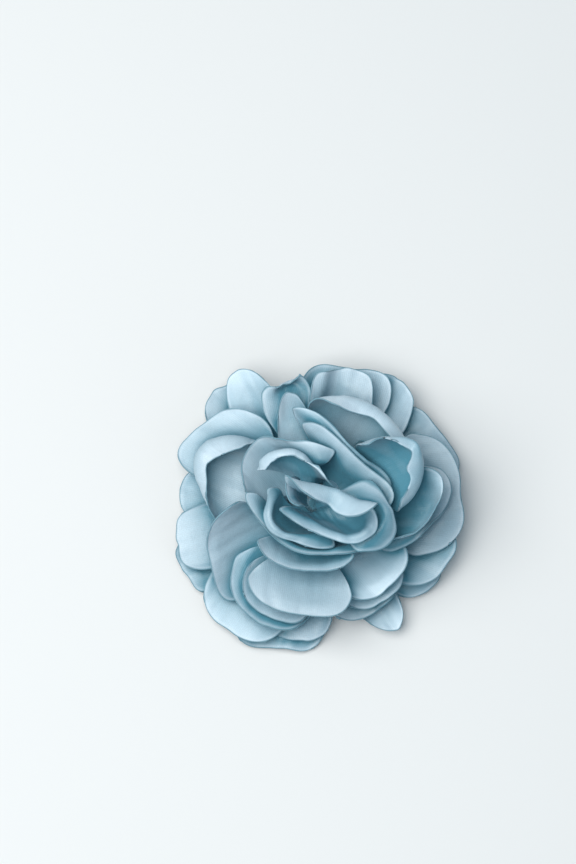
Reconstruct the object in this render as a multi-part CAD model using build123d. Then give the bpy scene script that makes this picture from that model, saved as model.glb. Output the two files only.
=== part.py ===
from build123d import *
import math
import os
import numpy as np

# Flower, in mm: reach of the outer rims from the axis and height of the centre
# Share of the height by which the centre leans to the front
FLOWER_REACH = 45.0
FLOWER_RISE = 40.0
FLOWER_LEAN = 0.045

# Petal cloth, in mm, and the gap kept between two petals
WALL = 1.0
GAP = 0.2

# Petal outline on a disc of radius 1: squareness, where the two side points of the table lie,
# and where corners and full width start above the root
SQUARENESS = 0.8
SHOULDER_AT = math.radians(45)
CORNER_START = 1.2
TAPER_LENGTH = 1.3
ROOT_WIDTH_LOW = 7.0
ROOT_WIDTH_HIGH = 3.5

# Lips and ruffles fade out along the sides, the ruffle also from the rim inwards
LIP_FADE = 1.6
LIP_STEPS = 10
RUFFLE_FADE = 1.2
RUFFLE_START = 0.4

# Core that the petals are glued to, in mm
CORE_FOOT_RADIUS = 9.5
CORE_TIP_RADIUS = 2.0
CORE_HIGH = 14.0
CORE_SINK = 1.4
SEAT_HEIGHT = 8.0
SEAT_OUT = 0.8
SEAT_UP = 0.6

# Felt pad and the spring clip under it, in mm
FELT_RADIUS = 13.0
FELT_THICK = 1.6
CLIP_LONG = 28.0
CLIP_WIDE = 12.0
CLIP_STRIP = 0.8
CLIP_HIGH = 4.7
CLIP_GRIP = 1.6
CLIP_GRIP_SHARE = 0.70
CLIP_DIP_RUN = 2.2
CLIP_FLARE = 1.1
CLIP_FLARE_SLOPE = 0.5
JOIN_GAP = 0.2

# Pressing of a petal on the ones beneath it: depth and width felt in mm, least likeness of direction
PRESS_DEEP = 9.0
PRESS_WIDE = 1.9
PRESS_SOFT = 1.15
ALIKE = 0.25
SETTLE_ROUNDS = 9
SETTLE_EASE = 0.9
SETTLE_DONE = 0.08
SETTLE_POINTS = 13
WALL_POINTS = 19
SKIN_TOLERANCE = 0.02

# One row for each petal, lowest and outermost first
# seat: share of the way from the foot of the core to its tip
# crown, left and right are rim points: turn in degrees, share of FLOWER_REACH, share of FLOWER_RISE
# sag: how hollow the petal is, as a share of its length
# lips: angles of the left, tip and right edge, above 0 rolling back, below 0 folding in over the face
# lip_start: share of the petal's radius that stays flat
# ruffle: height as a share of WALL, waves, start in degrees
# press: share of PRESS_DEEP
COLUMNS = ("seat", "crown", "left", "right", "sag", "lips", "lip_start", "ruffle", "press")
PETALS = {
    "outer_petal": [
        (.00, (34, 1.01, .20), (47, .95, .20), (20, 1.00, .18), .06, (10, 20, 50), .70, (.6, 2, 0), 1),
        (.00, (171, .92, .12), (181, .83, .12), (160, .86, .12), .05, (0, 10, 0), .70, (.3, 2, 60), 1),
        (.00, (205, .98, .08), (214, .90, .08), (195, .94, .10), .05, (0, 10, 0), .70, (.5, 3, 0), 1),
        (.00, (254, .96, .06), (268, .88, .06), (240, .96, .06), .05, (0, 10, 0), .70, (.5, 3, 40), 1),
        (.00, (326, .92, .10), (336, .89, .12), (317, .80, .10), .05, (0, 20, 0), .70, (.3, 2, 0), 1),
        (.00, (304, .96, .10), (312, .84, .12), (295, .78, .10), .05, (0, 0, -20), .70, (.4, 2, 90), 1),
        (.00, (128, 1.08, .18), (137, .98, .18), (119, .98, .22), .05, (0, 10, 0), .70, (.5, 2, 20), 1),
        (.06, (59, 1.07, .25), (66, .99, .25), (50, .98, .25), .06, (0, 10, 20), .70, (.4, 2, 0), 1),
        (.04, (119, 1.12, .30), (128, .93, .22), (110, .88, .36), .08, (10, 20, -20), .70, (.6, 2, 0), 1),
        (.06, (264, .87, .10), (275, .78, .10), (250, .83, .10), .06, (0, 10, 0), .70, (.3, 2, 90), 1),
        (.08, (234, .99, .08), (248, .91, .08), (219, .92, .08), .07, (0, 15, 0), .70, (.7, 2, 0), 1),
        (.08, (191, .97, .18), (202, .91, .18), (181, .87, .20), .06, (0, 20, 0), .70, (.5, 2, 90), 1),
        (.08, (338, .95, .22), (350, .91, .25), (325, .83, .20), .07, (0, 10, 0), .70, (.4, 2, 0), 1),
        (.08, (76, 1.02, .33), (90, .94, .36), (63, 1.00, .30), .08, (0, 20, 0), .70, (.5, 3, 0), 1),
        (.13, (146, .99, .30), (157, .97, .25), (132, .86, .40), .08, (0, 20, 30), .70, (.6, 2, 40), 1),
        (.12, (104, .98, .40), (114, .90, .40), (95, .94, .40), .08, (20, -110, 0), .78, (.5, 2, 0), 1),
    ],
    "middle_petal": [
        (.14, (300, .80, .22), (316, .74, .22), (283, .72, .20), .08, (0, 10, 0), .70, (.3, 2, 0), 1),
        (.16, (5, .99, .37), (25, .93, .40), (347, .90, .30), .12, (10, 30, 10), .70, (.8, 2, 30), 1),
        (.20, (307, .78, .30), (322, .72, .30), (291, .68, .28), .08, (0, 20, 0), .70, (.3, 2, 60), 1),
        (.20, (80, .97, .47), (90, .90, .47), (69, .93, .47), .10, (10, 30, 40), .70, (.8, 2, 0), 1),
        (.22, (158, 1.02, .43), (176, .84, .3), (141, .92, .5), .12, (-20, -150, -120), .62, (.4, 2, 0), 1),
        (.20, (208, .81, .33), (223, .83, .22), (192, .69, .50), .10, (0, 10, 10), .70, (.4, 2, 0), 1),
        (.24, (242, .85, .28), (258, .80, .25), (224, .75, .33), .12, (0, 0, 50), .70, (.5, 2, 0), 1),
        (.24, (247, .80, .30), (261, .75, .30), (231, .73, .33), .12, (0, 10, 0), .70, (.3, 2, 0), 1),
        (.30, (312, .73, .43), (328, .69, .47), (295, .66, .40), .08, (0, 20, 0), .70, (.4, 2, 0), 1),
        (.32, (103, .80, .60), (112, .66, .50), (94, .60, .50), .06, (0, 0, 20), .60, (.3, 2, 0), 1),
        (.34, (3, .88, .56), (16, .84, .56), (344, .76, .47), .08, (20, 40, 50), .75, (.3, 2, 0), 1),
        (.36, (262, .74, .50), (281, .72, .50), (240, .71, .47), .06, (0, 20, 10), .70, (.4, 2, 0), 1),
        (.38, (58, .88, .76), (82, .86, .73), (33, .86, .66), .08, (-60, -140, -60), .60, (.4, 2, 0), 1),
        (.42, (29, .76, .63), (46, .65, .62), (12, .80, .58), .07, (0, 20, 20), .75, (.3, 2, 0), .5),
        (.46, (350, .88, .62), (8, .92, .70), (333, .69, .50), .10, (-20, -70, -80), .72, (.2, 2, 0), .7),
        (.56, (25, .99, .94), (46, .85, .98), (3, .93, .86), .12, (-75, -125, -90), .64, (.2, 2, 0), .5),
    ],
    "centre_petal": [
        (.52, (258, .455, .60), (288, .44, .66), (229, .46, .63), .08, (10, 20, 20), .70, (.3, 2, 0), .55),
        (.62, (38, .54, .68), (82, .60, .66), (10, .53, .68), .06, (0, 10, 10), .75, (.3, 2, 0), .4),
        (.70, (40, .49, .75), (78, .54, .73), (8, .53, .75), .06, (0, 10, 10), .75, (.3, 2, 0), .4),
        (.64, (135, .59, .63), (165, .48, .60), (99, .49, .70), .06, (0, 10, 60), .70, (.3, 2, 0), .55),
        (.70, (258, .345, .74), (310, .42, .70), (194, .36, .76), .12, (30, 50, 30), .75, (.3, 3, 0), .55),
        (.82, (104, .54, .86), (136, .62, .80), (68, .37, .86), .14, (-110, -110, 0), .60, (.3, 2, 0), .5),
        (.94, (352, .56, .86), (17, .38, .90), (327, .53, .80), .08, (50, 90, 50), .72, (.3, 2, 0), .2),
        (.92, (216, .39, .84), (262, .31, .80), (182, .33, .86), .14, (60, 110, 110), .68, (.3, 2, 0), .3),
        (1.04, (316, .40, .88), (336, .44, .88), (262, .16, .88), .06, (30, 90, 20), .70, (.3, 2, 0), .1),
        (1.0, (164, .16, .95), (192, .12, .95), (140, .18, .95), .06, (0, 50, 20), .50, (.2, 2, 0), 0),
        (1.35, (20, .22, 1.20), (112, .15, 1.16), (2, .39, 1.16), .03, (0, -130, 0), .26, (.2, 2, 0), 0),
    ],
}


# The rows of the table by name, in the order in which the petals are laid
def petal_rows():
    return {f"{ring}_{place:02d}": dict(zip(COLUMNS, petal))
            for ring, petals in PETALS.items() for place, petal in enumerate(petals, 1)}


def unit(v):
    return v / np.maximum(np.linalg.norm(v, axis=-1, keepdims=True), 1e-9)


def rim_point(turn, reach, rise):
    a = math.radians(turn)
    z = FLOWER_RISE * rise
    return np.array([
        FLOWER_REACH * reach * math.cos(a),
        FLOWER_REACH * reach * math.sin(a) - FLOWER_LEAN * z,
        z,
    ])


def root_width(seat):
    return ROOT_WIDTH_LOW + (ROOT_WIDTH_HIGH - ROOT_WIDTH_LOW) * seat


# A petal without its lips is a quadratic patch: middle, side and length arms and the two bends
def patch(row):
    crown, left, right = (rim_point(*row[k]) for k in ("crown", "left", "right"))
    seat = row["seat"]
    out = CORE_FOOT_RADIUS + (CORE_TIP_RADIUS - CORE_FOOT_RADIUS) * seat + SEAT_OUT
    middle = (crown + left + right) / 3
    a = math.atan2(middle[1], middle[0])
    root = np.array([out * math.cos(a), out * math.sin(a), SEAT_HEIGHT + CORE_HIGH * seat + SEAT_UP])
    chord = crown - root
    face = unit(np.cross(right - left, chord))
    belly = (root + crown) / 2 - row["sag"] * np.linalg.norm(chord) * face
    bend_long = (crown + root) / 2 - belly
    shoulders = (left + right) / 2
    bend_side = 2 * (shoulders - belly - math.sin(SHOULDER_AT) * chord / 2 - bend_long / 2)
    return belly, (right - left) / (2 * math.cos(SHOULDER_AT)), chord / 2, bend_side, bend_long


def patch_point(arms, x, y):
    belly, side, length, bend_side, bend_long = arms
    x, y = x[..., None], y[..., None]
    return belly + x * side + y * length + x * x * bend_side + y * y * bend_long


def patch_slopes(arms, x, y):
    _, side, length, bend_side, bend_long = arms
    x, y = x[..., None], y[..., None]
    return side + 2 * x * bend_side, length + 2 * y * bend_long


# The middle surface of a petal and the way its face looks, for grids u and v from -1 to 1
def petal_sheet(row, u, v):
    arms = patch(row)
    rounding = SQUARENESS * np.clip((v + 1) / CORNER_START, 0, 1) ** 2
    x = u * np.sqrt(1 - rounding * v * v / 2)
    y = v * np.sqrt(1 - rounding * u * u / 2)
    share = min(1.0, root_width(row["seat"]) / (2 * np.linalg.norm(arms[1])))
    t = np.clip((y + 1) / TAPER_LENGTH, 0, 1)
    x = x * (share + (1 - share) * t * t * (3 - 2 * t))
    ring, turn = np.sqrt(x * x + y * y), np.arctan2(y, x)
    held = np.minimum(ring, row["lip_start"])
    along_x, along_y = patch_slopes(arms, held * np.cos(turn), held * np.sin(turn))
    face = unit(np.cross(along_x, along_y))
    outward = along_x * np.cos(turn)[..., None] + along_y * np.sin(turn)[..., None]
    stretch = np.linalg.norm(outward, axis=-1)
    past = (ring - held) * stretch
    band = np.maximum((1 - row["lip_start"]) * stretch, 1e-6)
    left, tip, right = row["lips"]
    up = np.clip(np.sin(turn), 0, 1)
    sides = np.where(np.cos(turn) > 0, right, left) * np.cos(turn) ** 2
    lip = np.radians(tip * up ** 2 + sides * np.clip(1 + LIP_FADE * np.sin(turn), 0, 1))
    forth, drop = np.zeros_like(past), np.zeros_like(past)
    for step in range(LIP_STEPS):
        t = np.clip((step + 0.5) / LIP_STEPS * past / band, 0, 1)
        bent = lip * (1 - (1 - t) ** 2)
        forth += np.cos(bent) * past / LIP_STEPS
        drop += np.sin(bent) * past / LIP_STEPS
    sheet = patch_point(arms, x, y) + unit(outward) * (forth - past)[..., None] - face * drop[..., None]
    size, waves, start = row["ruffle"]
    rim = np.clip((ring - RUFFLE_START) / (1 - RUFFLE_START), 0, 1) ** 2
    rim = rim * np.clip(1 + RUFFLE_FADE * np.sin(turn), 0, 1)
    wave = size * WALL * rim * np.sin(waves * 2 * (turn - math.pi / 2) + math.radians(start))
    return sheet + face * wave[..., None], face


def square_grid(n):
    return np.meshgrid(np.linspace(-1, 1, n), np.linspace(-1, 1, n), indexing="xy")


def sheet_normals(p):
    return unit(np.cross(np.gradient(p, axis=1), np.gradient(p, axis=0)))


# Values between the rows and columns of a grid, along a smooth curve
def between(a, n):
    def one_way(a):
        place = np.linspace(0, len(a) - 1, n)
        i = np.minimum(place.astype(int), len(a) - 2)
        f = (place - i).reshape((-1,) + (1,) * (a.ndim - 1))
        ends = np.concatenate([2 * a[:1] - a[1:2], a, 2 * a[-1:] - a[-2:-1]])
        p, q, r, s = ends[i], ends[i + 1], ends[i + 2], ends[i + 3]
        return q + f / 2 * (r - p + f * (2 * p - 5 * q + 4 * r - s + f * (3 * (q - r) + s - p)))
    return np.swapaxes(one_way(np.swapaxes(one_way(a), 0, 1)), 0, 1)


# A smooth field of heights that is nowhere under the wanted one
def smooth_over(want, reach=2):
    for _ in range(reach):
        pad = np.pad(want, 1, mode="edge")
        n, m = want.shape
        want = np.max([pad[i:i + n, j:j + m] for i in range(3) for j in range(3)], axis=0)
    for _ in range(reach):
        pad = np.pad(want, ((1, 1), (0, 0)), mode="edge")
        want = (pad[:-2] + 2 * pad[1:-1] + pad[2:]) / 4
        pad = np.pad(want, ((0, 0), (1, 1)), mode="edge")
        want = (pad[:, :-2] + 2 * pad[:, 1:-1] + pad[:, 2:]) / 4
    return want


# How far each point has to go the way its face looks to lie clear on the petals under it
def climb(sheet, face, under, deep):
    p, way = sheet.reshape(-1, 3), face.reshape(-1, 3)
    low, high = p.min(0) - deep, p.max(0) + deep
    clear = WALL + GAP
    need = np.zeros(len(p))
    for q, q_face in under:
        if (q.min(0) > high).any() or (q.max(0) < low).any():
            continue
        ahead = way @ q.T - (p * way).sum(1)[:, None]
        aside = (p ** 2).sum(1)[:, None] + (q ** 2).sum(1)[None] - 2 * p @ q.T - ahead ** 2
        met = (aside < PRESS_WIDE ** 2) & (ahead > -clear) & (ahead < deep) & (way @ q_face.T > ALIKE)
        round_off = np.sqrt(np.clip(1 - aside / (PRESS_SOFT * PRESS_WIDE) ** 2, 0, 1))
        need = np.maximum(need, np.where(met, ahead + clear * round_off, 0).max(1))
    return need.reshape(sheet.shape[:2])


# Petals are laid in their order, each one raised to rest on those before it
def lay_petals(rows):
    u, v = square_grid(SETTLE_POINTS)
    under, raised = [], []
    for row in rows:
        start, face = petal_sheet(row, u, v)
        want = height = np.zeros_like(u)
        for _ in range(SETTLE_ROUNDS):
            need = climb(start + height[..., None] * face, face, under, PRESS_DEEP * row["press"])
            if need.max() < SETTLE_DONE:
                break
            want = np.where(need > 0, np.maximum(want, height + SETTLE_EASE * need), want)
            height = smooth_over(want)
        laid = between(start + height[..., None] * face, 2 * SETTLE_POINTS - 1)
        under.append((laid.reshape(-1, 3), sheet_normals(laid).reshape(-1, 3)))
        raised.append(height)
    return raised


def petal_solid(row, height):
    u, v = square_grid(WALL_POINTS)
    sheet, face = petal_sheet(row, u, v)
    sheet = sheet + between(height, WALL_POINTS)[..., None] * face
    half = WALL / 2 * sheet_normals(sheet)
    skins = []
    for skin in (sheet + half, sheet - half):
        points = [[Vector(*map(float, p)) for p in line] for line in skin]
        skins.append(Face.make_surface_from_array_of_points(points, tol=SKIN_TOLERANCE))
    front, back = skins
    sides = []
    for edge in front.edges():
        mate = min(back.edges(), key=lambda e: (e @ 0.5 - edge @ 0.5).length)
        sides.append(Face.make_surface_from_curves(edge, mate))
    return Solid(Shell([front, back] + sides))


def make_backing():
    top = CLIP_HIGH + JOIN_GAP + FELT_THICK
    felt = Pos(0, 0, CLIP_HIGH + JOIN_GAP + FELT_THICK / 2) * Cylinder(FELT_RADIUS, FELT_THICK)
    tip = SEAT_HEIGHT + CORE_HIGH - CORE_SINK
    cone = Pos(0, 0, (top + tip) / 2) * Cone(CORE_FOOT_RADIUS, CORE_TIP_RADIUS, tip - top)
    return felt + cone


# A flat spring strip bent back on itself, its upper leg dipping to grip and flaring at the mouth
def make_clip():
    half, strip = CLIP_LONG / 2, CLIP_STRIP / 2
    bend = (CLIP_HIGH - CLIP_STRIP) / 2
    low, high = strip, CLIP_HIGH - strip
    start = -half + bend + strip
    grip_x = start + (half - start) * CLIP_GRIP_SHARE
    grip_z = CLIP_STRIP + CLIP_GRIP + strip
    foot = grip_x - (high - grip_z) * CLIP_DIP_RUN
    legs = [
        Line((half, low), (start, low)),
        ThreePointArc((start, low), (start - bend, low + bend), (start, high)),
        Line((start, high), (foot, high)),
        Spline((foot, high), (grip_x, grip_z), (half, grip_z + CLIP_FLARE),
               tangents=[(1, 0), (1, CLIP_FLARE_SLOPE)]),
    ]
    side_view = Plane.XZ * trace(Wire(legs), CLIP_STRIP)
    return extrude(side_view, amount=CLIP_WIDE / 2, both=True)


def main():
    os.makedirs("parts", exist_ok=True)
    rows = petal_rows()
    for (name, row), height in zip(rows.items(), lay_petals(list(rows.values()))):
        export_step(petal_solid(row, height), f"parts/{name}.step")
    export_step(make_backing(), "parts/backing.step")
    export_step(make_clip(), "parts/clip.step")


main()
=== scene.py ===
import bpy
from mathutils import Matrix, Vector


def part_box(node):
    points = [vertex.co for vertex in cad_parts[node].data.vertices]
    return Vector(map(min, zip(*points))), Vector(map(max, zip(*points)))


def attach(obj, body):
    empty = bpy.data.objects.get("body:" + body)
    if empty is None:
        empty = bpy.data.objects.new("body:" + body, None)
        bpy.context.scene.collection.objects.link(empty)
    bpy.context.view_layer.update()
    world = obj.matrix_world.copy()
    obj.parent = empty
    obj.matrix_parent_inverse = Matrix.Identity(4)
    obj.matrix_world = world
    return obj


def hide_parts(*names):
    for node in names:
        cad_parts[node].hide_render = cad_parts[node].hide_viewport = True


bl_info = {
    "name": "Fabric Flower Shoe Clip",
    "version": (1, 0, 0),
    "blender": (4, 5, 0),
    "location": "View3D > Sidebar > Flower Clip",
    "description": "Satin petals, felt core and spring clip of a flower shoe clip, round its packed frame",
    "category": "Object",
}

import functools
import math

import bmesh
import bpy
import numpy as np
from bpy.props import EnumProperty, FloatProperty, FloatVectorProperty, IntProperty, PointerProperty
from mathutils import Matrix, Vector, noise
from mathutils.bvhtree import BVHTree

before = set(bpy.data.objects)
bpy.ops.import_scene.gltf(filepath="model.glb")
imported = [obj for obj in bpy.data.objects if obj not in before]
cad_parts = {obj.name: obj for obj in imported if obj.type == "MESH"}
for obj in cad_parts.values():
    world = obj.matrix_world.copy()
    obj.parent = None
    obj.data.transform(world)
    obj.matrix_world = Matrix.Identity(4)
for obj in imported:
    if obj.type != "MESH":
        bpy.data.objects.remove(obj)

MM = 0.001

# Flower, as in the solids: reach of the outer rims, height of the centre and its lean to the front
FLOWER_REACH = 45 * MM
FLOWER_RISE = 40 * MM
FLOWER_LEAN = 0.045

# Room that a petal keeps from the next one, from middle to middle
WALL = 1.0 * MM
GAP = 0.2 * MM

# Petal outline on a disc of radius 1: how much further it reaches at its rounded corners, where the two
# side points of the table lie, and where corners and full width start above the root
CORNER_REACH = 0.095
SHOULDER_AT = math.radians(45)
CORNER_START = 1.2
TAPER_LENGTH = 1.3
ROOT_WIDTH_LOW = 7.0 * MM
ROOT_WIDTH_HIGH = 3.5 * MM

# Lips and ruffles fade out along the sides, the ruffle also from the rim inwards
LIP_FADE = 1.6
LIP_STEPS = 10
RUFFLE_FADE = 1.2
RUFFLE_START = 0.4

# Core that the petals are glued to
CORE_FOOT_RADIUS = 9.5 * MM
CORE_TIP_RADIUS = 2.0 * MM
CORE_HIGH = 14 * MM
SEAT_HEIGHT = 8 * MM
SEAT_OUT = 0.8 * MM
SEAT_UP = 0.6 * MM

# Pressing of a petal on the ones beneath it
PRESS_DEEP = 9 * MM
PRESS_WIDE = 1.9 * MM
PRESS_SOFT = 1.15
ALIKE = 0.25
SETTLE_ROUNDS = 9
SETTLE_EASE = 0.9
SETTLE_DONE = 0.08 * MM
SETTLE_POINTS = 13

# Smooth noise: steps from one petal to the next, and the seeds of the cut, flutter, tone and felt
SEED_STEP = 7.31
CREASE_STEP = 3.7
NOISE_ROW = 0.5
CUT_SEED = 20
FLUTTER_SEED = 40
TONE_STEP = 1.7
TONE_SEED = 3
FELT_SEED = 5

# Rows of a petal, from -1 at the root to 1 at the tip, over which its cut, flutter, gathers and edge line
# set in
CUT_ROWS = (-0.9, 0.0)
FLUTTER_ROWS = (-0.8, 0.2)
GATHER_ROWS = (-1.0, -0.8)
LINE_ROWS = (-0.5, 0.2)

# How often the cut swings in and out, and the share of a petal's length over which its gathers run out
CUT_WAVES = 2.2
GATHER_END = 0.55

# Look at the sky for the painted shade in the hollows: share of its height that is looked at, lines from one
# place to the next, times softened
SKY_SPAN = 0.85
SKY_STEP = 3
SKY_SOFT = 3

# Smallest radius on a petal's disc
DISC_LEAST = 0.01

# Darker towards the centre of the flower, partly deeper dye and partly painted shade, with its power, and
# painted shade towards a petal's root
SEAT_DYE_AND_SHADE = 0.1
SEAT_DYE_AND_SHADE_POWER = 0.7
ROOT_SHADE = 0.3

# How much each unevenness of the cloth lightens and darkens the satin, and how much the painted glints do
PATCH_SHADE = 0.1
TONE_SHADE = 0.09
SLUB_SHADE = 0.12
THREAD_SHADE = 0.07
GLINT_SHADE = 0.3

# Painted highlight along the rolled rim and full dark of the cut line (melt and painted shadow line), in
# widths of the line, and how much of each colour shows
RIM_HIGHLIGHT_WIDE = 3.5
RIM_HIGHLIGHT_SHARE = 0.3
LINE_CORE = 0.25
LINE_SHARE = 0.75

# Threads: weft against warp, half the span of both, and the size of slubs and glints in thread pitches
WEFT_SHARE = 0.35
THREAD_SPAN = 0.37
SLUB_WIDE = 2.5
GLINT_FINE = 1.6

# Crinkles and weave of the satin, fibres of the felt and rolling lines of the plate: depth and strength
SATIN_CRINKLE = (0.35 * MM, 0.35)
SATIN_WEAVE = (0.05 * MM, 0.5)
FELT_FIBRES = (0.3 * MM, 0.8)
PLATE_LINES = (0.01 * MM, 0.4)

# Roughness: what the slubs, patches or lines add to it, and its least
SATIN_ROUGH = (0.08, 0.30)
FELT_ROUGH = (0.1, 0.85)
PLATE_ROUGH = (0.22, 0.14)

# Felt against the colour of the inner satin, rubbed metal, and rolling lines to a metre each way
FELT_DARK = 0.62
FELT_LIGHT = 1.15
RUBBED_METAL = (0.58, 0.57, 0.55)
ROLLING_LINES = (60, 4000, 4000)

# Felt core: rounding and top of the pad against its thickness, points of the outline, pleats, unevenness
PAD_ROUNDING = 0.4
PAD_TOP = 1.05
ROUNDING_POINTS = 5
CORE_POINTS = 25
CORE_TURNS = 96
PLEATS = 18
PLEAT_DEEP = 0.25 * MM
FELT_WAVES = 3
FELT_UNEVEN = 0.15 * MM

# Clip: points nearer than this are one, and the angles of its flat and its sheared edges
POINT_MERGE = 0.002 * MM
FLAT_ANGLE = math.radians(1)
SHEARED_ANGLE = math.radians(50)

# Lights: size and tint of the main one and of the second
KEY_SIZE = 1.0
KEY_TINT = (1.0, 0.99, 0.97)
FILL_SIZE = 0.7
FILL_TINT = (0.86, 0.93, 1.0)

# One row for each petal, lowest and outermost first, with the columns of the solids
COLUMNS = ("seat", "crown", "left", "right", "sag", "lips", "lip_start", "ruffle", "press")
PETALS = {
    "outer_petal": [
        (.00, (34, 1.01, .20), (47, .95, .20), (20, 1.00, .18), .06, (10, 20, 50), .70, (.6, 2, 0), 1),
        (.00, (171, .92, .12), (181, .83, .12), (160, .86, .12), .05, (0, 10, 0), .70, (.3, 2, 60), 1),
        (.00, (205, .98, .08), (214, .90, .08), (195, .94, .10), .05, (0, 10, 0), .70, (.5, 3, 0), 1),
        (.00, (254, .96, .06), (268, .88, .06), (240, .96, .06), .05, (0, 10, 0), .70, (.5, 3, 40), 1),
        (.00, (326, .92, .10), (336, .89, .12), (317, .80, .10), .05, (0, 20, 0), .70, (.3, 2, 0), 1),
        (.00, (304, .96, .10), (312, .84, .12), (295, .78, .10), .05, (0, 0, -20), .70, (.4, 2, 90), 1),
        (.00, (128, 1.08, .18), (137, .98, .18), (119, .98, .22), .05, (0, 10, 0), .70, (.5, 2, 20), 1),
        (.06, (59, 1.07, .25), (66, .99, .25), (50, .98, .25), .06, (0, 10, 20), .70, (.4, 2, 0), 1),
        (.04, (119, 1.12, .30), (128, .93, .22), (110, .88, .36), .08, (10, 20, -20), .70, (.6, 2, 0), 1),
        (.06, (264, .87, .10), (275, .78, .10), (250, .83, .10), .06, (0, 10, 0), .70, (.3, 2, 90), 1),
        (.08, (234, .99, .08), (248, .91, .08), (219, .92, .08), .07, (0, 15, 0), .70, (.7, 2, 0), 1),
        (.08, (191, .97, .18), (202, .91, .18), (181, .87, .20), .06, (0, 20, 0), .70, (.5, 2, 90), 1),
        (.08, (338, .95, .22), (350, .91, .25), (325, .83, .20), .07, (0, 10, 0), .70, (.4, 2, 0), 1),
        (.08, (76, 1.02, .33), (90, .94, .36), (63, 1.00, .30), .08, (0, 20, 0), .70, (.5, 3, 0), 1),
        (.13, (146, .99, .30), (157, .97, .25), (132, .86, .40), .08, (0, 20, 30), .70, (.6, 2, 40), 1),
        (.12, (104, .98, .40), (114, .90, .40), (95, .94, .40), .08, (20, -110, 0), .78, (.5, 2, 0), 1),
    ],
    "middle_petal": [
        (.14, (300, .80, .22), (316, .74, .22), (283, .72, .20), .08, (0, 10, 0), .70, (.3, 2, 0), 1),
        (.16, (5, .99, .37), (25, .93, .40), (347, .90, .30), .12, (10, 30, 10), .70, (.8, 2, 30), 1),
        (.20, (307, .78, .30), (322, .72, .30), (291, .68, .28), .08, (0, 20, 0), .70, (.3, 2, 60), 1),
        (.20, (80, .97, .47), (90, .90, .47), (69, .93, .47), .10, (10, 30, 40), .70, (.8, 2, 0), 1),
        (.22, (158, 1.02, .43), (176, .84, .3), (141, .92, .5), .12, (-20, -150, -120), .62, (.4, 2, 0), 1),
        (.20, (208, .81, .33), (223, .83, .22), (192, .69, .50), .10, (0, 10, 10), .70, (.4, 2, 0), 1),
        (.24, (242, .85, .28), (258, .80, .25), (224, .75, .33), .12, (0, 0, 50), .70, (.5, 2, 0), 1),
        (.24, (247, .80, .30), (261, .75, .30), (231, .73, .33), .12, (0, 10, 0), .70, (.3, 2, 0), 1),
        (.30, (312, .73, .43), (328, .69, .47), (295, .66, .40), .08, (0, 20, 0), .70, (.4, 2, 0), 1),
        (.32, (103, .80, .60), (112, .66, .50), (94, .60, .50), .06, (0, 0, 20), .60, (.3, 2, 0), 1),
        (.34, (3, .88, .56), (16, .84, .56), (344, .76, .47), .08, (20, 40, 50), .75, (.3, 2, 0), 1),
        (.36, (262, .74, .50), (281, .72, .50), (240, .71, .47), .06, (0, 20, 10), .70, (.4, 2, 0), 1),
        (.38, (58, .88, .76), (82, .86, .73), (33, .86, .66), .08, (-60, -140, -60), .60, (.4, 2, 0), 1),
        (.42, (29, .76, .63), (46, .65, .62), (12, .80, .58), .07, (0, 20, 20), .75, (.3, 2, 0), .5),
        (.46, (350, .88, .62), (8, .92, .70), (333, .69, .50), .10, (-20, -70, -80), .72, (.2, 2, 0), .7),
        (.56, (25, .99, .94), (46, .85, .98), (3, .93, .86), .12, (-75, -125, -90), .64, (.2, 2, 0), .5),
    ],
    "centre_petal": [
        (.52, (258, .455, .60), (288, .44, .66), (229, .46, .63), .08, (10, 20, 20), .70, (.3, 2, 0), .55),
        (.62, (38, .54, .68), (82, .60, .66), (10, .53, .68), .06, (0, 10, 10), .75, (.3, 2, 0), .4),
        (.70, (40, .49, .75), (78, .54, .73), (8, .53, .75), .06, (0, 10, 10), .75, (.3, 2, 0), .4),
        (.64, (135, .59, .63), (165, .48, .60), (99, .49, .70), .06, (0, 10, 60), .70, (.3, 2, 0), .55),
        (.70, (258, .345, .74), (310, .42, .70), (194, .36, .76), .12, (30, 50, 30), .75, (.3, 3, 0), .55),
        (.82, (104, .54, .86), (136, .62, .80), (68, .37, .86), .14, (-110, -110, 0), .60, (.3, 2, 0), .5),
        (.94, (352, .56, .86), (17, .38, .90), (327, .53, .80), .08, (50, 90, 50), .72, (.3, 2, 0), .2),
        (.92, (216, .39, .84), (262, .31, .80), (182, .33, .86), .14, (60, 110, 110), .68, (.3, 2, 0), .3),
        (1.04, (316, .40, .88), (336, .44, .88), (262, .16, .88), .06, (30, 90, 20), .70, (.3, 2, 0), .1),
        (1.0, (164, .16, .95), (192, .12, .95), (140, .18, .95), .06, (0, 50, 20), .50, (.2, 2, 0), 0),
        (1.35, (20, .22, 1.20), (112, .15, 1.16), (2, .39, 1.16), .03, (0, -130, 0), .26, (.2, 2, 0), 0),
    ],
}

# Painted shade on single petals that lie in shade or on the side away from the light, and below zero painted
# light on those that the light falls on
PETAL_PAINTED_SHADE = {
    "outer_petal_01": .15, "outer_petal_08": .15, "outer_petal_13": .25, "outer_petal_14": .15,
    "middle_petal_02": .15, "middle_petal_05": -.2, "middle_petal_07": .15, "middle_petal_13": -.2,
    "middle_petal_16": .2, "centre_petal_01": -.1, "centre_petal_04": -.15, "centre_petal_06": -.2,
    "centre_petal_07": .25, "centre_petal_09": .1,
}

# Photograph: pixels of its frame, pixels to a millimetre, and the pixel under the flower's axis
PHOTO_WIDE, PHOTO_HIGH = 576, 864
PHOTO_SCALE = 3.3
AXIS_PIXEL = (316, 517)
CAMERA_TILT = math.radians(78)
CAMERA_FAR = 2.4
SENSOR = 36.0


# Names of all petals with their rows, in the order in which they are laid
def petal_rows():
    return {f"{ring}_{place:02d}": dict(zip(COLUMNS, petal))
            for ring, petals in PETALS.items() for place, petal in enumerate(petals, 1)}


def unit(v):
    return v / np.maximum(np.linalg.norm(v, axis=-1, keepdims=True), 1e-12)


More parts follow.
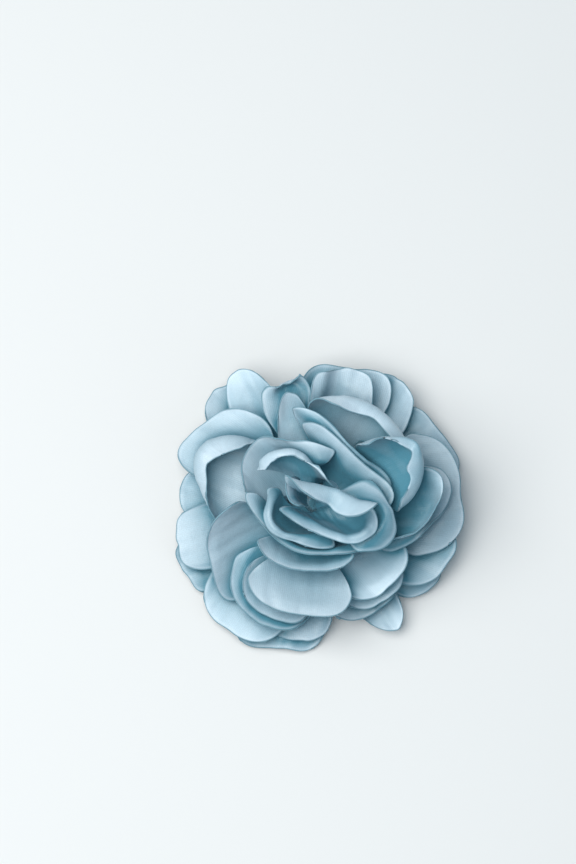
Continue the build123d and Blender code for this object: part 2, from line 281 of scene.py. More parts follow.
def rim_point(turn, reach, rise):
    a = math.radians(turn)
    z = FLOWER_RISE * rise
    return np.array([
        FLOWER_REACH * reach * math.cos(a),
        FLOWER_REACH * reach * math.sin(a) - FLOWER_LEAN * z,
        z,
    ])


def root_width(seat):
    return ROOT_WIDTH_LOW + (ROOT_WIDTH_HIGH - ROOT_WIDTH_LOW) * seat


# A petal without its lips is a quadratic patch: middle, side and length arms and the two bends
def patch(row):
    crown, left, right = (rim_point(*row[k]) for k in ("crown", "left", "right"))
    seat = row["seat"]
    out = CORE_FOOT_RADIUS + (CORE_TIP_RADIUS - CORE_FOOT_RADIUS) * seat + SEAT_OUT
    middle = (crown + left + right) / 3
    a = math.atan2(middle[1], middle[0])
    root = np.array([out * math.cos(a), out * math.sin(a), SEAT_HEIGHT + CORE_HIGH * seat + SEAT_UP])
    chord = crown - root
    face = unit(np.cross(right - left, chord))
    belly = (root + crown) / 2 - row["sag"] * np.linalg.norm(chord) * face
    bend_long = (crown + root) / 2 - belly
    shoulders = (left + right) / 2
    bend_side = 2 * (shoulders - belly - math.sin(SHOULDER_AT) * chord / 2 - bend_long / 2)
    return belly, (right - left) / (2 * math.cos(SHOULDER_AT)), chord / 2, bend_side, bend_long


def patch_point(arms, x, y):
    belly, side, length, bend_side, bend_long = arms
    x, y = x[..., None], y[..., None]
    return belly + x * side + y * length + x * x * bend_side + y * y * bend_long


def patch_slopes(arms, x, y):
    _, side, length, bend_side, bend_long = arms
    x, y = x[..., None], y[..., None]
    return side + 2 * x * bend_side, length + 2 * y * bend_long


# Middle surface of a petal and the way its face looks, for grids u and v from -1 to 1
def petal_sheet(row, u, v):
    arms = patch(row)
    rounding = np.clip((v + 1) / CORNER_START, 0, 1) ** 2
    x = u * np.sqrt(1 - rounding * v * v / 2)
    y = v * np.sqrt(1 - rounding * u * u / 2)
    corner = 1 + CORNER_REACH * rounding * (2 * x * y) ** 2 / np.maximum(x * x + y * y, DISC_LEAST)
    x, y = x * corner, y * corner
    share = min(1.0, root_width(row["seat"]) / (2 * np.linalg.norm(arms[1])))
    t = np.clip((y + 1) / TAPER_LENGTH, 0, 1)
    x = x * (share + (1 - share) * t * t * (3 - 2 * t))
    ring, turn = np.sqrt(x * x + y * y), np.arctan2(y, x)
    held = np.minimum(ring, row["lip_start"])
    along_x, along_y = patch_slopes(arms, held * np.cos(turn), held * np.sin(turn))
    face = unit(np.cross(along_x, along_y))
    outward = along_x * np.cos(turn)[..., None] + along_y * np.sin(turn)[..., None]
    stretch = np.linalg.norm(outward, axis=-1)
    past = (ring - held) * stretch
    band = np.maximum((1 - row["lip_start"]) * stretch, 1e-9)
    left, tip, right = row["lips"]
    up = np.clip(np.sin(turn), 0, 1)
    sides = np.where(np.cos(turn) > 0, right, left) * np.cos(turn) ** 2
    lip = np.radians(tip * up ** 2 + sides * np.clip(1 + LIP_FADE * np.sin(turn), 0, 1))
    forth, drop = np.zeros_like(past), np.zeros_like(past)
    for step in range(LIP_STEPS):
        t = np.clip((step + 0.5) / LIP_STEPS * past / band, 0, 1)
        bent = lip * (1 - (1 - t) ** 2)
        forth += np.cos(bent) * past / LIP_STEPS
        drop += np.sin(bent) * past / LIP_STEPS
    sheet = patch_point(arms, x, y) + unit(outward) * (forth - past)[..., None] - face * drop[..., None]
    size, waves, start = row["ruffle"]
    rim = np.clip((ring - RUFFLE_START) / (1 - RUFFLE_START), 0, 1) ** 2
    rim = rim * np.clip(1 + RUFFLE_FADE * np.sin(turn), 0, 1)
    wave = size * WALL * rim * np.sin(waves * 2 * (turn - math.pi / 2) + math.radians(start))
    return sheet + face * wave[..., None], face


def square_grid(n):
    return np.meshgrid(np.linspace(-1, 1, n), np.linspace(-1, 1, n), indexing="xy")


def sheet_normals(p):
    return unit(np.cross(np.gradient(p, axis=1), np.gradient(p, axis=0)))


# Values between the rows and columns of a grid, along a smooth curve
def between(a, n):
    def one_way(a):
        place = np.linspace(0, len(a) - 1, n)
        i = np.minimum(place.astype(int), len(a) - 2)
        f = (place - i).reshape((-1,) + (1,) * (a.ndim - 1))
        ends = np.concatenate([2 * a[:1] - a[1:2], a, 2 * a[-1:] - a[-2:-1]])
        p, q, r, s = ends[i], ends[i + 1], ends[i + 2], ends[i + 3]
        return q + f / 2 * (r - p + f * (2 * p - 5 * q + 4 * r - s + f * (3 * (q - r) + s - p)))
    return np.swapaxes(one_way(np.swapaxes(one_way(a), 0, 1)), 0, 1)


# Each value mixed with its neighbours, as often as asked
def soften(field, times):
    for _ in range(times):
        pad = np.pad(field, ((1, 1), (0, 0)), mode="edge")
        field = (pad[:-2] + 2 * pad[1:-1] + pad[2:]) / 4
        pad = np.pad(field, ((0, 0), (1, 1)), mode="edge")
        field = (pad[:, :-2] + 2 * pad[:, 1:-1] + pad[:, 2:]) / 4
    return field


# A smooth field of heights that is nowhere under the wanted one
def smooth_over(want, reach=2):
    for _ in range(reach):
        pad = np.pad(want, 1, mode="edge")
        n, m = want.shape
        want = np.max([pad[i:i + n, j:j + m] for i in range(3) for j in range(3)], axis=0)
    return soften(want, reach)


# How far each point has to go the way its face looks to lie clear on the petals under it
def climb(sheet, face, under, deep):
    p, way = sheet.reshape(-1, 3), face.reshape(-1, 3)
    low, high = p.min(0) - deep, p.max(0) + deep
    clear = WALL + GAP
    need = np.zeros(len(p))
    for q, q_face in under:
        if (q.min(0) > high).any() or (q.max(0) < low).any():
            continue
        ahead = way @ q.T - (p * way).sum(1)[:, None]
        aside = (p ** 2).sum(1)[:, None] + (q ** 2).sum(1)[None] - 2 * p @ q.T - ahead ** 2
        met = (aside < PRESS_WIDE ** 2) & (ahead > -clear) & (ahead < deep) & (way @ q_face.T > ALIKE)
        round_off = np.sqrt(np.clip(1 - aside / (PRESS_SOFT * PRESS_WIDE) ** 2, 0, 1))
        need = np.maximum(need, np.where(met, ahead + clear * round_off, 0).max(1))
    return need.reshape(sheet.shape[:2])


# Petals are laid in their order, each one raised to rest on those before it
def lay_petals(rows):
    u, v = square_grid(SETTLE_POINTS)
    under, raised = [], []
    for row in rows:
        start, face = petal_sheet(row, u, v)
        want = height = np.zeros_like(u)
        for _ in range(SETTLE_ROUNDS):
            need = climb(start + height[..., None] * face, face, under, PRESS_DEEP * row["press"])
            if need.max() < SETTLE_DONE:
                break
            want = np.where(need > 0, np.maximum(want, height + SETTLE_EASE * need), want)
            height = smooth_over(want)
        laid = between(start + height[..., None] * face, 2 * SETTLE_POINTS - 1)
        under.append((laid.reshape(-1, 3), sheet_normals(laid).reshape(-1, 3)))
        raised.append(height)
    return raised


# Smooth value from -1 to 1 that changes once in each unit of place
def smooth_noise(x, y, z):
    return noise.noise(Vector((x, y, z))) * 2


# The same along a line, different for each seed
def sway(place, seed):
    return smooth_noise(place, seed * SEED_STEP, NOISE_ROW)


def smooth_step(low, high, value):
    t = np.clip((value - low) / (high - low), 0, 1)
    return t * t * (3 - 2 * t)


# Lengths in the cloth: from the middle line sideways, and from the root to the tip
def cloth_lengths(sheet):
    n = sheet.shape[0]
    steps = np.linalg.norm(np.diff(sheet, axis=1), axis=-1)
    across = np.concatenate([np.zeros((n, 1)), np.cumsum(steps, axis=1)], axis=1)
    across = across - across[:, n // 2][:, None]
    steps = np.linalg.norm(np.diff(sheet, axis=0), axis=-1)
    along = np.concatenate([np.zeros((1, n)), np.cumsum(steps, axis=0)], axis=0)
    return across, along


# Heights of all petals over their own patches, worked out once
@functools.cache
def laid_heights():
    return dict(zip(petal_rows(), lay_petals(list(petal_rows().values()))))


# The real petal: the laid sheet with an uneven cut, a fluttering hot-cut edge, gathers and creases
def worn_sheet(row, height, seed, n, make):
    u, v = square_grid(n)
    turn = np.arctan2(v, u)
    square = np.maximum(np.abs(u), np.abs(v))
    cut = np.vectorize(lambda a: sway(math.cos(a) * CUT_WAVES, seed)
                       + sway(math.sin(a) * CUT_WAVES, seed + CUT_SEED))(turn)
    grow = 1 + make.cut_wobble * cut * square ** 2 * smooth_step(*CUT_ROWS, v)
    sheet, face = petal_sheet(row, u * grow, v * grow)
    sheet = sheet + between(height, n)[..., None] * face
    across, along = cloth_lengths(sheet)
    edge = edge_distance(sheet, row, u, v)
    near_edge = 1 - smooth_step(0.0, make.flutter_reach, edge)
    rim_place = np.arctan2(u, v) * along.max() / 2
    flutter = np.vectorize(lambda a: sway(a / make.flutter_wave, seed + FLUTTER_SEED))(rim_place)
    gather = np.sin(across / make.gather_pitch * 2 * math.pi + seed)
    gather = gather * (1 - smooth_step(0.0, GATHER_END, (v + 1) / 2)) * smooth_step(*GATHER_ROWS, v)
    crease = np.vectorize(lambda a, b: smooth_noise(a, b, seed * CREASE_STEP))(
        across / make.crease_wide, along / make.crease_long)
    lift = make.flutter * flutter * near_edge * smooth_step(*FLUTTER_ROWS, v)
    lift = lift + make.gather * gather + make.crease * crease
    edge = edge + make.line_fade * (1 - smooth_step(*LINE_ROWS, v))
    return sheet + sheet_normals(sheet) * lift[..., None], across, along, edge


# Directions spread evenly over the sky, down to a low angle
def sky_fan(make):
    turn = math.pi * (3 - math.sqrt(5))
    fan = []
    for k in range(make.sky_rays):
        up = 1 - SKY_SPAN * (k + 0.5) / make.sky_rays
        flat = math.sqrt(1 - up * up)
        fan.append(Vector((flat * math.cos(turn * k), flat * math.sin(turn * k), up)))
    return fan


# Share of the sky that the petals hide from each point of a petal, worked out on a few of its lines, which
# sets the painted shade in the hollows
def hidden_sky(piece, tree, make):
    n = make.petal_lines
    places = np.empty(len(piece.data.vertices) * 3)
    piece.data.vertices.foreach_get("co", places)
    coarse = places.reshape(n, n, 3)[::SKY_STEP, ::SKY_STEP]
    fan = sky_fan(make)
    hidden = np.zeros(coarse.shape[:2])
    for i, j in np.ndindex(hidden.shape):
        place = Vector(coarse[i, j])
        hits = [tree.ray_cast(place + way * make.sky_near, way, make.sky_far)[3] for way in fan]
        hidden[i, j] = sum(1 - hit / make.sky_far for hit in hits if hit is not None) / len(fan)
    return np.clip(between(soften(hidden, SKY_SOFT), n), 0, 1)


# Distance of each point from the nearest free edge: along its two grid lines, and straight out from the
# middle, for a grid with its root in the first row
def edge_distance(sheet, row, u, v):
    across, along = cloth_lengths(sheet)
    sides = np.minimum(across - across[:, :1], across[:, -1:] - across)
    square = np.maximum(np.maximum(np.abs(u), np.abs(v)), DISC_LEAST)
    out = np.linalg.norm(petal_sheet(row, u / square, v / square)[0] - petal_sheet(row, u, v)[0], axis=-1)
    out = np.where(v > -square, out, along[-1:])
    return np.minimum(np.minimum(sides, along[-1:] - along), out)


def colour_mix(nodes, links, factor, low, high):
    mix = nodes.new("ShaderNodeMix")
    mix.data_type = "RGBA"
    links.new(factor, mix.inputs["Factor"])
    for key, value in (("A", low), ("B", high)):
        if isinstance(value, bpy.types.NodeSocket):
            links.new(value, mix.inputs[key])
        else:
            mix.inputs[key].default_value = (*value, 1)
    return mix.outputs["Result"]


def maths(nodes, links, operation, first, second, third=None):
    node = nodes.new("ShaderNodeMath")
    node.operation = operation
    for place, value in enumerate((first, second, third)):
        if isinstance(value, bpy.types.NodeSocket):
            links.new(value, node.inputs[place])
        elif value is not None:
            node.inputs[place].default_value = value
    return node.outputs["Value"]


def scaled(nodes, links, vector, scale):
    node = nodes.new("ShaderNodeVectorMath")
    node.operation = "SCALE"
    links.new(vector, node.inputs[0])
    links.new(scale, node.inputs["Scale"])
    return node.outputs["Vector"]


# Cloudy noise that changes once in each unit of its vector
def cloud(nodes, links, vector, detail):
    node = nodes.new("ShaderNodeTexNoise")
    node.inputs["Scale"].default_value = 1
    node.inputs["Detail"].default_value = detail
    links.new(vector, node.inputs["Vector"])
    return node.outputs["Fac"]


# Normal of a surface raised by a height, with its depth and strength, on top of another normal if given
def bumped(nodes, links, height, relief, under=None):
    node = nodes.new("ShaderNodeBump")
    node.inputs["Distance"].default_value, node.inputs["Strength"].default_value = relief
    links.new(height, node.inputs["Height"])
    if under is not None:
        links.new(under, node.inputs["Normal"])
    return node.outputs["Normal"]


# Value that goes from 0 at one distance to 1 at another
def fade(nodes, links, value, start, end, kind="LINEAR"):
    node = nodes.new("ShaderNodeMapRange")
    node.interpolation_type = kind
    node.inputs["From Min"].default_value = start
    node.inputs["From Max"].default_value = end
    links.new(value, node.inputs["Value"])
    return node.outputs["Result"]


def new_group(name, sockets_in, sockets_out):
    group = bpy.data.node_groups.new(name, "ShaderNodeTree")
    for key, kind, value in sockets_in:
        socket = group.interface.new_socket(key, in_out="INPUT", socket_type=kind)
        if value is not None:
            socket.default_value = value
    for key, kind in sockets_out:
        group.interface.new_socket(key, in_out="OUTPUT", socket_type=kind)
    return group, group.nodes.new("NodeGroupInput"), group.nodes.new("NodeGroupOutput")


# Fine threads of a satin weave: long floats one way, slubs where a thread is thicker, and fine noise for
# painted glints
def satin_threads():
    group, given, put = new_group(
        "satin_threads",
        [("Place", "NodeSocketVector", None), ("Pitch", "NodeSocketFloat", 0.35 * MM),
         ("Slub Long", "NodeSocketFloat", 9 * MM)],
        [("Threads", "NodeSocketFloat"), ("Slubs", "NodeSocketFloat"), ("Glints", "NodeSocketFloat")])
    nodes, links = group.nodes, group.links
    split = nodes.new("ShaderNodeSeparateXYZ")
    links.new(given.outputs["Place"], split.inputs[0])
    per_pitch = maths(nodes, links, "DIVIDE", 2 * math.pi, given.outputs["Pitch"])
    warp = maths(nodes, links, "SINE", maths(nodes, links, "MULTIPLY", split.outputs["X"], per_pitch), 0)
    weft = maths(nodes, links, "SINE", maths(nodes, links, "MULTIPLY", split.outputs["Y"], per_pitch), 0)
    both = maths(nodes, links, "MULTIPLY_ADD", weft, WEFT_SHARE, warp)
    links.new(maths(nodes, links, "MULTIPLY_ADD", both, THREAD_SPAN, 0.5), put.inputs["Threads"])
    stretched = nodes.new("ShaderNodeCombineXYZ")
    slub_wide = maths(nodes, links, "MULTIPLY", given.outputs["Pitch"], SLUB_WIDE)
    links.new(maths(nodes, links, "DIVIDE", split.outputs["X"], slub_wide), stretched.inputs["X"])
    links.new(maths(nodes, links, "DIVIDE", split.outputs["Y"], given.outputs["Slub Long"]),
              stretched.inputs["Y"])
    links.new(cloud(nodes, links, stretched.outputs["Vector"], 2), put.inputs["Slubs"])
    fine = maths(nodes, links, "DIVIDE", GLINT_FINE, given.outputs["Pitch"])
    links.new(cloud(nodes, links, scaled(nodes, links, given.outputs["Place"], fine), 1),
              put.inputs["Glints"])
    return group


# Soft unevenness of cloth that was handled: broad patches and small crinkles
def handled_cloth():
    group, given, put = new_group(
        "handled_cloth",
        [("Place", "NodeSocketVector", None), ("Patch", "NodeSocketFloat", 12 * MM),
         ("Crinkle", "NodeSocketFloat", 2.2 * MM)],
        [("Patches", "NodeSocketFloat"), ("Crinkles", "NodeSocketFloat")])
    nodes, links = group.nodes, group.links
    for size, out, detail in (("Patch", "Patches", 2), ("Crinkle", "Crinkles", 3)):
        per_size = maths(nodes, links, "DIVIDE", 1.0, given.outputs[size])
        place = scaled(nodes, links, given.outputs["Place"], per_size)
        links.new(cloud(nodes, links, place, detail), put.inputs[out])
    return group


def place_group(nodes, name, maker, **values):
    tree = bpy.data.node_groups.get(name) or maker()
    node = nodes.new("ShaderNodeGroup")
    node.node_tree = tree
    for key, value in values.items():
        node.inputs[key.replace("_", " ")].default_value = value
    return node


def read_attribute(nodes, name):
    node = nodes.new("ShaderNodeAttribute")
    node.attribute_name = name
    return node.outputs["Fac"]


def new_material(name):
    material = bpy.data.materials.new(name)
    material.use_nodes = True
    nodes, links = material.node_tree.nodes, material.node_tree.links
    return material, nodes, links, nodes["Principled BSDF"]


# Dusty blue satin: paler outside, deeper teal inside from dye and painted shade, with a painted highlight on
# the rolled rim, painted glints and a hot-cut edge line that is partly painted shadow
def dyed_satin(make):
    material, nodes, links, shader = new_material("dyed_satin")
    flat = nodes.new("ShaderNodeUVMap")
    flat.uv_map = "cut"
    threads = place_group(nodes, "satin_threads", satin_threads, Pitch=make.thread_pitch)
    links.new(flat.outputs["UV"], threads.inputs["Place"])
    solid = nodes.new("ShaderNodeTexCoord").outputs["Object"]
    cloth = place_group(nodes, "handled_cloth", handled_cloth)
    links.new(solid, cloth.inputs["Place"])
    depth, tone, edge, hollow = (read_attribute(nodes, key)
                                 for key in ("depth", "tone", "edge_mm", "hollow"))
    # Painted shade: the colour goes deeper teal where the petals hide the sky, on top of the depth attribute
    deep = maths(nodes, links, "MULTIPLY_ADD", hollow, make.hollow_shade, depth)
    colour = colour_mix(nodes, links, deep, make.outer_colour, make.inner_and_shade_colour)
    # Painted highlight along the rolled rim beside the cut
    rim_highlight_mask = fade(nodes, links, edge, make.edge_line * RIM_HIGHLIGHT_WIDE, make.edge_line, "SMOOTHSTEP")
    rim_highlight_mask = maths(nodes, links, "MULTIPLY", rim_highlight_mask, RIM_HIGHLIGHT_SHARE)
    colour = colour_mix(nodes, links, rim_highlight_mask, colour, make.rim_highlight_colour)
    shade = maths(nodes, links, "MULTIPLY_ADD", tone, TONE_SHADE, 1)
    # The cloth's own patches, slubs and threads, and painted glints
    for uneven, share in (
            (cloth.outputs["Patches"], PATCH_SHADE), (threads.outputs["Slubs"], SLUB_SHADE),
            (threads.outputs["Threads"], THREAD_SHADE), (threads.outputs["Glints"], GLINT_SHADE)):
        uneven = maths(nodes, links, "MULTIPLY_ADD", uneven, share, 1 - share / 2)
        shade = maths(nodes, links, "MULTIPLY", shade, uneven)
    # Dark cut line: the melt's own darker colour and a painted shadow line along the edge
    cut_line_and_shadow = fade(nodes, links, edge, make.edge_line, make.edge_line * LINE_CORE)
    cut_line_and_shadow = maths(nodes, links, "MULTIPLY", cut_line_and_shadow, LINE_SHARE)
    colour = colour_mix(nodes, links, cut_line_and_shadow, scaled(nodes, links, colour, shade), make.edge_and_shadow_colour)
    links.new(colour, shader.inputs["Base Color"])
    links.new(maths(nodes, links, "MULTIPLY_ADD", threads.outputs["Slubs"], *SATIN_ROUGH),
              shader.inputs["Roughness"])
    shader.inputs["Sheen Weight"].default_value = 0.12
    shader.inputs["Sheen Roughness"].default_value = 0.4
    shader.inputs["Sheen Tint"].default_value = (0.8, 0.92, 1.0, 1)
    shader.inputs["Specular IOR Level"].default_value = 0.45
    crinkles = bumped(nodes, links, cloth.outputs["Crinkles"], SATIN_CRINKLE)
    links.new(bumped(nodes, links, threads.outputs["Threads"], SATIN_WEAVE, crinkles),
              shader.inputs["Normal"])
    return material


# Pressed felt: short tangled fibres and a slight pile
def pressed_felt(make):
    material, nodes, links, shader = new_material("pressed_felt")
    solid = nodes.new("ShaderNodeTexCoord").outputs["Object"]
    cloth = place_group(nodes, "handled_cloth", handled_cloth, Patch=5 * MM, Crinkle=0.5 * MM)
    links.new(solid, cloth.inputs["Place"])
    colour = colour_mix(nodes, links, cloth.outputs["Crinkles"], [c * FELT_DARK for c in make.inner_and_shade_colour],
                        [c * FELT_LIGHT for c in make.inner_and_shade_colour])
    links.new(colour, shader.inputs["Base Color"])
    links.new(maths(nodes, links, "MULTIPLY_ADD", cloth.outputs["Patches"], *FELT_ROUGH),
              shader.inputs["Roughness"])
    shader.inputs["Sheen Weight"].default_value = 0.5
    links.new(bumped(nodes, links, cloth.outputs["Crinkles"], FELT_FIBRES), shader.inputs["Normal"])
    return material


# Nickel plate on sprung steel strip: rolling lines along the strip and light rubbing
def nickel_plate(make):
    material, nodes, links, shader = new_material("nickel_plate")
    solid = nodes.new("ShaderNodeTexCoord").outputs["Object"]
    stretched = nodes.new("ShaderNodeMapping")
    stretched.inputs["Scale"].default_value = ROLLING_LINES
    links.new(solid, stretched.inputs["Vector"])
    lines = cloud(nodes, links, stretched.outputs["Vector"], 3)
    cloth = place_group(nodes, "handled_cloth", handled_cloth, Patch=4 * MM)
    links.new(solid, cloth.inputs["Place"])
    links.new(colour_mix(nodes, links, cloth.outputs["Patches"], RUBBED_METAL, make.metal_colour),
              shader.inputs["Base Color"])
    shader.inputs["Metallic"].default_value = 1
    links.new(maths(nodes, links, "MULTIPLY_ADD", lines, *PLATE_ROUGH), shader.inputs["Roughness"])
    links.new(bumped(nodes, links, lines, PLATE_LINES), shader.inputs["Normal"])
    return material


def plain_floor(make):
    material, _, _, shader = new_material("plain_floor")
    shader.inputs["Base Color"].default_value = (*make.floor_colour, 1)
    shader.inputs["Roughness"].default_value = 0.7
    return material


MATERIALS = {"dyed_satin": dyed_satin, "pressed_felt": pressed_felt, "nickel_plate": nickel_plate,
             "plain_floor": plain_floor}


def finish_named(name, make):
    return bpy.data.materials.get(name) or MATERIALS[name](make)


# Object of a finished bmesh, smooth all over and at the origin
def piece_from(bm, name, material):
    mesh = bpy.data.meshes.new(name)
    bm.to_mesh(mesh)
    bm.free()
    mesh.polygons.foreach_set("use_smooth", [True] * len(mesh.polygons))
    mesh.materials.append(material)
    piece = bpy.data.objects.new(name, mesh)
    bpy.context.scene.collection.objects.link(piece)
    return piece


def point_values(piece, name, values):
    attribute = piece.data.attributes.new(name, "FLOAT", "POINT")
    attribute.data.foreach_set("value", np.asarray(values, np.float32).ravel())


# One petal: a grid bent to its sheet, its points row by row from the root, given the flat cloth as UV map
# and a thin wall with a beaded edge
def make_petal(name, node, row, height, seed, make):
    n = make.petal_lines
    sheet, across, along, edge = worn_sheet(row, height, seed, n, make)
    bm = bmesh.new()
    bmesh.ops.create_grid(bm, x_segments=n - 1, y_segments=n - 1, size=1)
    bm.verts.index_update()
    cut = bm.loops.layers.uv.new("cut")
    flat = np.stack([across, along], axis=-1).reshape(-1, 2)
    for face in bm.faces:
        for loop in face.loops:
            loop[cut].uv = flat[loop.vert.index]
    for vert, place in zip(bm.verts, sheet.reshape(-1, 3)):
        vert.co = place
    piece = piece_from(bm, name, finish_named("dyed_satin", make))
    point_values(piece, "edge_mm", edge / MM)
    point_values(piece, "tone", np.full(n * n, sway(seed * TONE_STEP, TONE_SEED)))
    # Darker towards the centre and the root: deeper dye and painted shade
    inner = SEAT_DYE_AND_SHADE * row["seat"] ** SEAT_DYE_AND_SHADE_POWER
    point_values(piece, "depth", inner + ROOT_SHADE * (1 - along / along.max()) + PETAL_PAINTED_SHADE.get(node, 0))
    bead = piece.vertex_groups.new(name="bead")
    for index, far in enumerate(edge.ravel()):
        bead.add([index], max(0.0, 1 - far / make.bead_wide), "REPLACE")
    wall = piece.modifiers.new("wall", "SOLIDIFY")
    wall.thickness = make.bead_thick
    wall.offset = 0
    wall.vertex_group = "bead"
    wall.thickness_vertex_group = make.cloth_thick / make.bead_thick
    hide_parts(node)
    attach(piece, "root")
    return piece


# Outline of the felt pad and the core on it, as radii and heights from the middle underneath to the tip
def core_outline(low, high, make):
    radius = (high.x - low.x) / 2
    soft = make.felt_thick * PAD_ROUNDING
    top = low.z + make.felt_thick
    quarter = np.linspace(0, math.pi / 2, ROUNDING_POINTS)
    outline = [(0, low.z)]
    outline += [(radius - soft + soft * math.sin(a), low.z + soft - soft * math.cos(a)) for a in quarter]
    outline += [(radius - soft + soft * math.cos(a), top - soft + soft * math.sin(a)) for a in quarter]
    outline += [(CORE_FOOT_RADIUS + (CORE_TIP_RADIUS - CORE_FOOT_RADIUS) * t, top + (high.z - top) * t)
                for t in np.linspace(0, 1, CORE_POINTS)]
    return outline + [(0, high.z)]


# Felt pad with softly rounded, slightly uneven edge and the gathered core that the petals are glued to
def make_core(make):
    low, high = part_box("backing")
    bm = bmesh.new()
    points = [bm.verts.new((r, 0, z)) for r, z in core_outline(low, high, make)]
    edges = [bm.edges.new(pair) for pair in zip(points, points[1:])]
    bmesh.ops.spin(bm, geom=points + edges, cent=(0, 0, 0), axis=(0, 0, 1), angle=2 * math.pi,
                   steps=CORE_TURNS, use_merge=True)
    bmesh.ops.remove_doubles(bm, verts=bm.verts, dist=POINT_MERGE / 2)
    for vert in bm.verts:
        reach = math.hypot(vert.co.x, vert.co.y)
        if reach > CORE_TIP_RADIUS / 2:
            turn = math.atan2(vert.co.y, vert.co.x)
            on_core = vert.co.z > low.z + make.felt_thick * PAD_TOP
            pleat = PLEAT_DEEP * math.sin(PLEATS * turn) if on_core else 0
            uneven = FELT_UNEVEN * sway(turn * FELT_WAVES, FELT_SEED)
            vert.co.xy *= 1 + (min(pleat, 0) + min(uneven, 0)) / reach
    bmesh.ops.recalc_face_normals(bm, faces=bm.faces)
    piece = piece_from(bm, "felt_core", finish_named("pressed_felt", make))
    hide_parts("backing")
    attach(piece, "root")
    return piece


# Spring clip: the solid's own shape with its sheared edges rounded off
def make_clip(make):
    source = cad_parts["clip"]
    bm = bmesh.new()
    bm.from_mesh(source.data)
    bmesh.ops.remove_doubles(bm, verts=bm.verts, dist=POINT_MERGE)
    bmesh.ops.dissolve_limit(bm, angle_limit=FLAT_ANGLE, verts=bm.verts, edges=bm.edges)
    bmesh.ops.recalc_face_normals(bm, faces=bm.faces)
    sharp = [e for e in bm.edges if len(e.link_faces) == 2 and e.calc_face_angle() > SHEARED_ANGLE]
    bmesh.ops.bevel(bm, geom=sharp, offset=make.clip_round, segments=3, profile=0.5, affect="EDGES",
                    material=-1)
    piece = piece_from(bm, "spring_clip", finish_named("nickel_plate", make))
    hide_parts("clip")
    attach(piece, "root")
    return piece


def make_stage(make):
    bm = bmesh.new()
    bmesh.ops.create_grid(bm, x_segments=1, y_segments=1, size=make.floor_size / 2)
    floor = piece_from(bm, "floor", finish_named("plain_floor", make))
    world = bpy.data.worlds.new("soft_room")
    bpy.context.scene.world = world
    world.use_nodes = True
    world.node_tree.nodes["Background"].inputs["Color"].default_value = (*make.room_colour, 1)
    world.node_tree.nodes["Background"].inputs["Strength"].default_value = make.room_light
    for name, place, size, power, colour in (
            ("window_left", make.key_place, KEY_SIZE, make.key_power, KEY_TINT),
            ("wall_right", make.fill_place, FILL_SIZE, make.fill_power, FILL_TINT)):
        light = bpy.data.lights.new(name, "AREA")
        light.energy = power
        light.size = size
        light.color = colour
        lamp = bpy.data.objects.new(name, light)
        lamp.location = place
        lamp.rotation_euler = (-Vector(place)).to_track_quat("-Z", "Y").to_euler()
        bpy.context.scene.collection.objects.link(lamp)
    bpy.context.scene.view_settings.view_transform = "Standard"
    make_camera()


# Camera at the photograph's angle, with the flower where it stands in the photograph's frame
def make_camera():
    right = Vector((1, 0, 0))
    back = Vector((0, -math.cos(CAMERA_TILT), math.sin(CAMERA_TILT)))
    up = back.cross(right)
    side = (PHOTO_WIDE / 2 - AXIS_PIXEL[0]) / PHOTO_SCALE * MM
    rise = (AXIS_PIXEL[1] - PHOTO_HIGH / 2) / PHOTO_SCALE * MM
    middle = right * side + up * rise
    data = bpy.data.cameras.new("camera")
    data.sensor_width = SENSOR
    data.lens = SENSOR * CAMERA_FAR / (PHOTO_HIGH / PHOTO_SCALE * MM)
    data.clip_start = 0.05
    data.clip_end = 20
    camera = bpy.data.objects.new("camera", data)
    turned = Matrix((right, up, back)).transposed().to_4x4()
    turned.translation = middle + back * (CAMERA_FAR + FLOWER_RISE / 2)
    camera.matrix_world = turned
    bpy.context.scene.collection.objects.link(camera)
    bpy.context.scene.camera = camera


